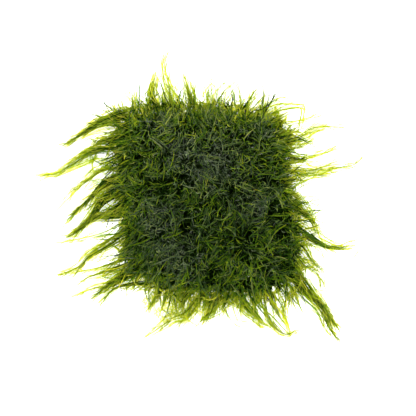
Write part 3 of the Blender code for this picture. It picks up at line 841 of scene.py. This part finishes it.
def add_crown(foliage, dice, clumps, each, rows):
    """Small locks of curling shoots, which make the cushion's upper side."""
    centres = scatter(dice, clumps, lambda p: depth_inside(p) > (4 + 3 * low_edge(p)) * MM)
    clump = np.repeat(np.arange(clumps), each)
    count = len(clump)
    roots = centres[clump] + dice.normal(0, 1.1 * MM, (count, 2))
    lean = leaning(outward(centres), 0.25, 0.5) + dice.normal(0, 0.45 + 2.4 * looseness(centres))
    angle = lean[clump] + dice.normal(0, 0.3, count)
    length = dice.uniform(7, 15, clumps)[clump] * dice.uniform(0.6, 1.1, count) * MM
    beyond = dice.uniform(-1, 3, count) - 3.5 * low_edge(roots)
    length = np.minimum(length, room_ahead(roots, angle, beyond * MM))
    start = dice.uniform(0.5, 1.1, clumps)[clump] + dice.normal(0, 0.1, count)
    finish = dice.uniform(-0.6, 0.1, clumps)[clump] + dice.normal(0, 0.15, count)
    lift = dice.random(clumps)[clump]
    sunk = (1.6 + 3.4 * (1 - lift)) * MM
    height = np.maximum(cushion_height(roots) - sunk, 1.6 * MM)
    turn = dice.normal(0, 0.3 + 0.7 * looseness(centres))[clump] + dice.normal(0, 0.3, count)
    paths = grow(roots, height, angle, (start, finish), length, 18, turn, 0.16, dice)
    paths = drawn_together(paths, clump, dice.uniform(0.0, 0.6, count))
    uneven = 0.07 + 0.26 * near_edge(centres)
    # Painted light: clumps that stand higher are lighter
    youth_and_light = youth_and_glow_at(roots) + 0.1 * (lift - 0.5) + dice.normal(0, uneven)[clump]
    youth_and_light = youth_and_light + dice.normal(0, 0.12, count)
    grey = drawn_sheen_grey(dice, roots, 0.08, 0.6, 0.16)
    reach = dice.uniform(0.35, 0.8, count)
    foliage.add(
        paths, reach, (youth_and_light * 0.4, youth_and_light), rows, grey, warmth(roots), grown=0.4, shaded=True
    )


def add_combed_shoots(foliage, dice, count):
    """Shoots over the rim, most of them dark and at the left, that run out into the locks."""
    spots = OUTLINE[dice.integers(0, len(OUTLINE), 4 * count)]
    normal = outward(spots)
    chosen = dice.random(4 * count) < 0.3 + 0.7 * np.clip(-normal[:, 0], 0, 1)
    spots, normal = spots[chosen][:count], normal[chosen][:count]
    count = len(spots)
    side = to_the_left(normal) * dice.normal(0, 2 * MM, (count, 1))
    roots = spots + side - normal * dice.uniform(1, 17, (count, 1)) * MM
    angle = leaning(normal, 0.15, 0.5) + dice.normal(0, 0.25, count)
    length = dice.uniform(9, 20, count) * MM
    paths = grow(roots, 0, angle, (0, 0), length, 26, dice.normal(0, 0.4, count), 0.1, dice)
    flat = paths[..., :2].reshape(-1, 2)
    arch = np.sin(np.linspace(0.3, np.pi, paths.shape[1])) * dice.uniform(0.3, 1.6, (count, 1))
    paths[..., 2] = lock_height(flat).reshape(count, -1) + arch * MM
    reach = dice.uniform(0.5, 0.95, count)
    dark = dice.random(count) < 0.65
    root = np.where(dark, dice.uniform(0.0, 0.12, count), dice.uniform(0.6, 0.9, count))
    tip = np.where(dark, dice.uniform(0.1, 0.55, count), dice.uniform(0.85, 1.05, count))
    foliage.add(paths, reach, (root, tip), luck=(0.1, 0.9))


def add_long_shoots(foliage, dice, count):
    """Long lighter shoots that lie on top of the cushion, most of them at its lower right."""

    def keep(points):
        right, left = (within(points / MM, *place) for place in LONG_SHOOT_PLACES)
        share = 0.25 + 0.75 * np.maximum(right, left) - 0.3 * sheen_greyness(points)
        return (depth_inside(points) > 6 * MM) & (dice.random(len(points)) < share)

    roots = scatter(dice, count, keep)
    flip = np.where(dice.random(count) < 0.35, np.pi, 0)
    angle = LONG_LEAN + dice.normal(0, 0.6, count) + flip
    length = dice.uniform(8, 18, count) * MM
    length = np.minimum(length, room_ahead(roots, angle, 3 * MM))
    height = cushion_height(roots) - 1.2 * MM
    start = dice.uniform(0.15, 0.5, count)
    turn = dice.normal(0, 0.4, count)
    paths = grow(roots, height, angle, (start, -start), length, 22, turn, 0.1, dice)
    tip = dice.normal(0.49, 0.07, count)
    reach = dice.uniform(0.6, 1.0, count)
    grey = drawn_sheen_grey(dice, roots, 0.08, 0.3, 0.16)
    foliage.add(
        paths, reach, (tip - 0.15, tip), ROUND_ROWS, grey, (0.15, 0.7), grown=0.3, shaded=True
    )


def add_curls(foliage, dice, count):
    """Fine curls that lie between the larger shoots of the cushion's upper side."""
    roots = scatter(dice, count, lambda p: depth_inside(p) > 5 * MM)
    length = dice.uniform(2.5, 6, count) * MM
    angle = dice.uniform(*ANY_WAY, count)
    height = cushion_height(roots) + dice.uniform(-1.4, 1.0, count) * MM
    rise = dice.uniform(0.0, 0.5, count)
    turn = dice.choice((-1, 1), count) * dice.uniform(0.2, 2.2, count)
    paths = grow(roots, height, angle, (rise, -rise), length, 8, turn, 0.3, dice)
    tip = youth_and_glow_at(roots) + dice.normal(0.12, 0.13, count)
    reach = dice.uniform(0.3, 0.6, count)
    grey = drawn_sheen_grey(dice, roots, 0.16, 0.5, 0.18)
    foliage.add(paths, reach, (tip - 0.1, tip), FLAT_ROWS, grey, warmth(roots), shaded=True)


def add_sheen_grey_tufts(foliage, dice, count):
    """Short curled shoots of the patches of painted grey sheen, so that the view from above meets
    their tips.
    """

    def keep(points):
        return (depth_inside(points) > 5 * MM) & (sheen_greyness(points) > dice.random(len(points)))

    roots = scatter(dice, count, keep)
    length = dice.uniform(5, 8, count) * MM
    height = cushion_height(roots) + dice.uniform(0, 2.2, count) * MM - length * 0.75
    start, finish = dice.uniform(0.9, 1.57, count), dice.uniform(-0.3, 0.8, count)
    angle = dice.uniform(*ANY_WAY, count)
    turn = dice.normal(0, 2.6, count)
    paths = grow(roots, height, angle, (start, finish), length, 10, turn, 0.3, dice)
    grey = np.clip(0.65 + dice.normal(0, 0.2, count), 0, 1)
    reach = dice.uniform(0.35, 0.65, count)
    tip = dice.normal(0.40, 0.08, count)
    foliage.add(paths, reach, (0.05, tip), ROUND_ROWS, grey, grown=0.7, shaded=True)


def add_undergrowth(foliage, dice, count):
    """Old dark shoots that fill the cushion under its crown."""

    def keep(points):
        return depth_inside(points) > (dice.uniform(3, 8, len(points)) + 3 * low_edge(points)) * MM

    roots = scatter(dice, count, keep)
    level = dice.uniform(0, 0.85, count)
    height = 2.1 * MM + (cushion_height(roots) - 5 * MM) * level
    angle = dice.uniform(*ANY_WAY, count)
    length = np.minimum(dice.uniform(7, 10, count) * MM, room_ahead(roots, angle, -4 * MM))
    rise = dice.uniform(-0.1, 0.4, count)
    turn = dice.normal(0, 0.8, count)
    paths = grow(roots, height, angle, (rise, rise - 0.4), length, 9, turn, 0.3, dice)
    paths[..., 2] = np.maximum(paths[..., 2], 2.0 * MM)
    tip = 0.1 + 0.5 * near_edge(roots)
    foliage.add(paths, 1.9, (0.0, tip), shaded=True)


def edge_spots(dice, count):
    """Random points on the outline, more of them above and below, and the way out there."""
    side = np.roll(OUTLINE, -1, 0) - OUTLINE
    chance = np.linalg.norm(side, axis=1) + RIM_MORE_ABOVE_AND_BELOW * np.abs(side[:, 0])
    spots = dice.choice(len(OUTLINE), count, p=chance / chance.sum())
    return OUTLINE[spots] + side[spots] * dice.random((count, 1)), to_the_left(unit(side[spots]))


def add_rim(foliage, dice, clumps, each):
    """Sparse young tufts all round the cushion's edge, which let the light through."""
    edge, normal = edge_spots(dice, clumps)
    centres = edge - normal * dice.uniform(-0.5, 10, (clumps, 1)) * MM
    clump = np.repeat(np.arange(clumps), each)
    count = len(clump)
    roots = centres[clump] + dice.normal(0, 1.5 * MM, (count, 2))
    lean = leaning(normal, 0.2) + dice.normal(0, 0.6 + 0.9 * in_loop_mat(centres))
    angle = lean[clump] + dice.normal(0, 0.3, count)
    height = dice.uniform(1.0, 6.5, count) * MM
    rise = dice.uniform(0.0, 0.7, clumps)[clump] + dice.normal(0, 0.1, count)
    length = dice.gamma(4.0, 2.0, clumps).clip(4, 16)[clump] * dice.uniform(0.6, 1.1, count) * MM
    length = length * np.clip(0.95 + 1.3 * smooth_noise(centres, TUFT_SPACING, 4), 0.4, 1.6)[clump]
    curled = np.maximum(in_loop_mat(roots), 0.5 * low_edge(roots))
    turn = dice.normal(0, 1.1, clumps)[clump] + dice.normal(0, 0.6 + 1.8 * curled)
    paths = grow(roots, height, angle, (rise, rise - 0.9), length, 18, turn, 0.25, dice)
    paths = drawn_together(paths, clump, dice.uniform(0.0, 0.6, count))
    reach = dice.uniform(0.35, 0.7, count)
    tip = dice.uniform(0.75, 1.05, clumps)[clump]
    x, y = np.clip(roots.T / HALF_SIDE, -1, 1)
    share = 0.44 + 0.28 * y - 0.12 * np.maximum(x, 0) * np.maximum(y, 0)
    dark = dice.random(count) < share * (1 - 0.6 * in_loop_mat(roots))
    tip = np.where(dark, dice.uniform(0.0, 0.3, count), tip)
    foliage.add(paths, reach, (tip - 0.2, tip), luck=(0.1, 0.9), grown=0.7)


def add_wisps(foliage, dice, count):
    """Fine pale shoots that stand out all round, apart from each other."""
    spots = OUTLINE[dice.integers(0, len(OUTLINE), count)] + dice.normal(0, 1.5 * MM, (count, 2))
    normal = outward(spots)
    roots = spots - normal * dice.uniform(0, 5, (count, 1)) * MM
    angle = leaning(normal, 0.25) + dice.normal(0, 0.45, count)
    height = dice.uniform(1.0, 5.5, count) * MM
    rise = dice.uniform(0.0, 0.6, count)
    length = dice.uniform(8, 22, count) * MM
    turn = dice.normal(0, 0.8, count)
    paths = grow(roots, height, angle, (rise, rise - 0.8), length, 26, turn, 0.2, dice)
    reach = dice.uniform(0.35, 0.55, count)
    tip = dice.uniform(0.5, 0.85, count)
    foliage.add(paths, reach, (tip - 0.25, tip), luck=(0.4, 0.9))


def add_rim_floor(foliage, dice, clumps, each):
    """Young shoots that lie low under the rim, so that the floor shines lime through them."""
    edge, normal = edge_spots(dice, clumps)
    centres = edge - normal * dice.triangular(-4, 3.5, 9, (clumps, 1)) * MM
    count = clumps * each
    roots = np.repeat(centres, each, 0) + dice.normal(0, 1.2 * MM, (count, 2))
    inside = np.clip(depth_inside(roots) / (4 * MM) + 0.8, 0, 1)
    height = dice.uniform(0.6, 2.0, count) * MM
    angle = dice.uniform(*ANY_WAY, count)
    length = dice.uniform(4, 8, count) * MM
    rise = dice.uniform(-0.1, 0.2, count)
    turn = dice.normal(0, 0.8 + 1.2 * (1 - inside))
    paths = grow(roots, height, angle, (rise, -rise), length, 12, turn, 0.3, dice)
    tip = dice.uniform(0.95, 1.1, count)
    fill = 1 + 0.2 * np.clip(roots[:, 0] / HALF_SIDE, 0, 1) - 0.35 * low_edge(roots)
    reach = fill * (0.4 + 1.0 * inside) * dice.uniform(0.8, 1.3, count)
    foliage.add(paths, reach, (tip - 0.1, tip), luck=(0.1, 0.8))


def add_loops(foliage, dice, count):
    """The mat of thin looping shoots at the lower left edge."""
    swing, out = dice.uniform(*ANY_WAY, count), np.sqrt(dice.random(count))
    spots = np.stack([np.cos(swing), np.sin(swing)], 1) * out[:, None]
    roots = LOOP_MAT_MIDDLE + spots * LOOP_MAT_HALF
    height = dice.uniform(0.6, 3, count) * MM
    angle = dice.uniform(*ANY_WAY, count)
    turn = dice.choice((-1, 1), count) * dice.uniform(2, 6, count)
    length = dice.uniform(6, 13, count) * MM
    rise = dice.uniform(-0.1, 0.25, count)
    paths = grow(roots, height, angle, (rise, -rise), length, 24, turn, 0.3, dice)
    tip = np.where(dice.random(count) < 0.15, 0.25, dice.uniform(0.8, 1.05, count))
    reach = dice.uniform(0.35, 0.55, count)
    foliage.add(paths, reach, (tip - 0.1, tip), luck=(0.5, 0.9))


def add_roots(foliage, dice, count):
    """Shoots that come down through the openings of the mesh."""
    cells = int(MESH_SIDE / WIRE_PITCH / 2)
    column, row = dice.integers(-cells, cells, (2, count))
    middle = (np.stack([column, row], 1) + 0.5) * WIRE_PITCH
    roots = middle + dice.uniform(-1.5, 1.5, (count, 2)) * MM
    angle = dice.uniform(*ANY_WAY, count)
    paths = grow(roots, ROOT_TOP, angle, (-1.45, -0.9), ROOT_LENGTH, 6, 0.5, 0.2, dice)
    foliage.add(paths, 0.8, (0.1, 0.5), ROUND_ROWS)


def new_material(name):
    """A new material, its node tree and its shader."""
    material = bpy.data.materials.new(name)
    material.use_nodes = True
    tree = material.node_tree
    return material, tree, tree.nodes["Principled BSDF"]


def set_inputs(node, values):
    """Gives inputs of a node uniform values."""
    for name, value in values.items():
        node.inputs[name].default_value = value


def ramp(tree, stops, factor):
    """A ramp with the given (place, colour or grey value) stops."""
    node = tree.nodes.new("ShaderNodeValToRGB")
    elements = node.color_ramp.elements
    while len(elements) < len(stops):
        elements.new(0.5)
    for element, (place, colour) in zip(elements, stops):
        element.position = place
        element.color = (*np.broadcast_to(colour, 3), 1)
    tree.links.new(factor, node.inputs["Fac"])
    return node.outputs["Color"]


def spread(tree, value, low, high):
    """A value between 0 and 1 stretched to run from low to high."""
    node = tree.nodes.new("ShaderNodeMapRange")
    set_inputs(node, {"To Min": low, "To Max": high})
    tree.links.new(value, node.inputs["Value"])
    return node.outputs["Result"]


def toned(tree, colour, grey, sheen_grey_colour, luck):
    """A leaf colour greyed by a painted sheen in the patches, with each shoot's own hue and
    lightness.
    """
    link = tree.links.new
    mix = tree.nodes.new("ShaderNodeMix")
    mix.data_type = "RGBA"
    link(grey, mix.inputs["Factor"])
    link(colour, mix.inputs["A"])
    link(sheen_grey_colour, mix.inputs["B"])
    shift = tree.nodes.new("ShaderNodeHueSaturation")
    link(spread(tree, luck, *HUES), shift.inputs["Hue"])
    link(spread(tree, luck, *LIGHTNESSES), shift.inputs["Value"])
    link(mix.outputs["Result"], shift.inputs["Color"])
    return shift.outputs["Color"]


def moss_material():
    """Wet translucent leaves: dark green when old, lime when young, with a painted grey sheen in
    the patches.
    """
    material, tree, shader = new_material("moss")
    nodes, link = tree.nodes, tree.links.new
    tone = nodes.new("ShaderNodeVertexColor")
    tone.layer_name = "tone"
    parts = nodes.new("ShaderNodeSeparateColor")
    link(tone.outputs["Color"], parts.inputs["Color"])
    age, luck, grey = (parts.outputs[name] for name in ("Red", "Green", "Blue"))
    reflected = ramp(tree, [
        (0.0, (0.003, 0.009, 0.0005)), (0.2, (0.024, 0.060, 0.002)), (0.4, (0.12, 0.25, 0.025)),
        (0.6, (0.245, 0.43, 0.030)), (0.8, (0.49, 0.58, 0.03)), (1.0, (0.64, 0.65, 0.08)),
    ], age)
    sent = ramp(tree, [
        (0.0, (0.002, 0.005, 0.0003)), (0.2, (0.017, 0.05, 0.001)), (0.4, (0.10, 0.24, 0.002)),
        (0.6, (0.275, 0.46, 0.003)), (0.8, (0.61, 0.67, 0.006)), (1.0, (0.86, 0.87, 0.13)),
    ], age)
    # Painted grey sheen of wet leaves, mixed into the leaf colours by their greyness
    reflected_sheen_grey = ramp(tree, [
        (0.0, (0.003, 0.007, 0.0005)), (0.2, (0.03, 0.05, 0.007)), (0.4, (0.24, 0.29, 0.22)),
        (0.7, (0.40, 0.46, 0.36)),
    ], age)
    sent_sheen_grey = ramp(tree, [
        (0.0, (0.001, 0.003, 0.0003)), (0.2, (0.012, 0.024, 0.002)), (0.5, (0.09, 0.11, 0.07)),
        (0.8, (0.20, 0.24, 0.10)),
    ], age)

    link(toned(tree, reflected, grey, reflected_sheen_grey, luck), shader.inputs["Base Color"])
    shine = nodes.new("ShaderNodeMath")
    shine.operation = "MULTIPLY"
    link(ramp(tree, [(0.25, 0), (0.45, 1), (0.7, 0.2)], age), shine.inputs[0])
    link(ramp(tree, [(0.0, 0.15), (0.3, 1)], grey), shine.inputs[1])
    link(shine.outputs["Value"], shader.inputs["Specular IOR Level"])
    set_inputs(shader, {"Roughness": 0.33})
    leaf = nodes.new("ShaderNodeBsdfTranslucent")
    link(toned(tree, sent, grey, sent_sheen_grey, luck), leaf.inputs["Color"])
    mix = nodes.new("ShaderNodeMixShader")
    set_inputs(mix, {"Fac": 0.7})
    link(shader.outputs["BSDF"], mix.inputs[1])
    link(leaf.outputs["BSDF"], mix.inputs[2])
    link(mix.outputs["Shader"], nodes["Material Output"].inputs["Surface"])
    return material


def steel_material():
    """Dull drawn steel wire, lighter and smoother in places."""
    material, tree, shader = new_material("steel_wire")
    place = tree.nodes.new("ShaderNodeTexCoord")
    noises = tree.nodes.new("ShaderNodeTexNoise")
    set_inputs(noises, {"Scale": 700, "Detail": 4})
    tree.links.new(place.outputs["Object"], noises.inputs["Vector"])
    grain = noises.outputs["Fac"]
    colour = ramp(tree, [(0.3, (0.30, 0.30, 0.29)), (0.7, (0.50, 0.50, 0.48))], grain)
    tree.links.new(colour, shader.inputs["Base Color"])
    tree.links.new(spread(tree, grain, 0.5, 0.25), shader.inputs["Roughness"])
    set_inputs(shader, {"Metallic": 1})
    return material


def add_light(name, size, strength, place):
    """A soft square light that looks at the moss."""
    light = bpy.data.lights.new(name, "AREA")
    light.size = size
    light.energy = strength
    lamp = bpy.data.objects.new(name, light)
    lamp.location = place
    lamp.rotation_euler = (-Vector(place)).to_track_quat("-Z", "Y").to_euler()
    bpy.context.scene.collection.objects.link(lamp)


def build_studio():
    """A white floor lit from all round, so bright that it shows as pure white."""
    floor_mesh = bpy.data.meshes.new("floor")
    half = 3.0
    corners = [(-half, -half, 0), (half, -half, 0), (half, half, 0), (-half, half, 0)]
    floor_mesh.from_pydata(corners, [], [(0, 1, 2, 3)])
    floor = bpy.data.objects.new("floor", floor_mesh)
    floor.location.z = -0.1 * MM
    bpy.context.scene.collection.objects.link(floor)
    white, _, shader = new_material("floor_white")
    set_inputs(shader, {
        "Base Color": (0.9, 0.9, 0.9, 1), "Roughness": 0.8,
        "Emission Color": (1, 1, 1, 1), "Emission Strength": 1.0,
    })
    floor_mesh.materials.append(white)

    world = bpy.data.worlds.new("studio")
    world.use_nodes = True
    set_inputs(world.node_tree.nodes["Background"], {"Color": (1, 1, 1, 1), "Strength": 0.35})
    bpy.context.scene.world = world
    add_light("key", size=0.3, strength=12, place=(-0.3, 0.4, 0.85))
    add_light("fill", size=0.3, strength=6, place=(0.4, -0.4, 0.7))


def build_camera():
    """A camera straight above, framed as the photograph is."""
    data = bpy.data.cameras.new("camera")
    data.sensor_width = SENSOR
    data.lens = SENSOR * CAMERA_HEIGHT / (PHOTO_SIDE * MM_PER_PIXEL * MM)
    camera = bpy.data.objects.new("camera", data)
    across = (PHOTO_SIDE / 2 - MIDDLE_PIXEL[0]) * MM_PER_PIXEL * MM
    down = (PHOTO_SIDE / 2 - MIDDLE_PIXEL[1]) * MM_PER_PIXEL * MM
    camera.location = (across, -down, CAMERA_HEIGHT)
    bpy.context.scene.collection.objects.link(camera)
    bpy.context.scene.camera = camera
    bpy.context.scene.view_settings.view_transform = "Standard"


# Pieces of the moss: (name, seed of its dice, what adds its shoots, what that takes)
PIECES = [
    ("moss_left_locks", 11, add_locks, LEFT_LOCKS),
    ("moss_bottom_locks", 12, add_locks, BOTTOM_LOCKS),
    ("moss_right_locks", 13, add_locks, RIGHT_LOCKS),
    ("moss_top_locks", 14, add_locks, TOP_LOCKS),
    ("moss_thin_shoots", 15, add_thin_shoots),
    ("moss_rim", 21, add_rim, 330, 8),
    ("moss_wisps", 24, add_wisps, 600),
    ("moss_rim_floor", 23, add_rim_floor, 350, 7),
    ("moss_loop_mat", 22, add_loops, 260),
    ("moss_crown_1", 31, add_crown, 720, 4, ROUND_ROWS),
    ("moss_crown_2", 32, add_crown, 720, 4, FLAT_ROWS),
    ("moss_fine_curls", 34, add_curls, 4200),
    ("moss_combed_shoots", 36, add_combed_shoots, 600),
    ("moss_long_shoots", 33, add_long_shoots, 560),
    ("moss_grey_tufts", 35, add_sheen_grey_tufts, 3000),
    ("moss_undergrowth", 41, add_undergrowth, 6800),
    ("moss_roots", 51, add_roots, 900),
]


def main():
    """Builds the camera, the studio, the materials and the pieces."""
    build_camera()
    build_studio()
    moss = moss_material()
    bpy.data.objects["steel_mesh"].data.materials[0] = steel_material()
    for name, seed, add_shoots, *amounts in PIECES:
        foliage = Foliage(np.random.default_rng(seed))
        add_shoots(foliage, foliage.dice, *amounts)
        foliage.build(name, moss)


main()
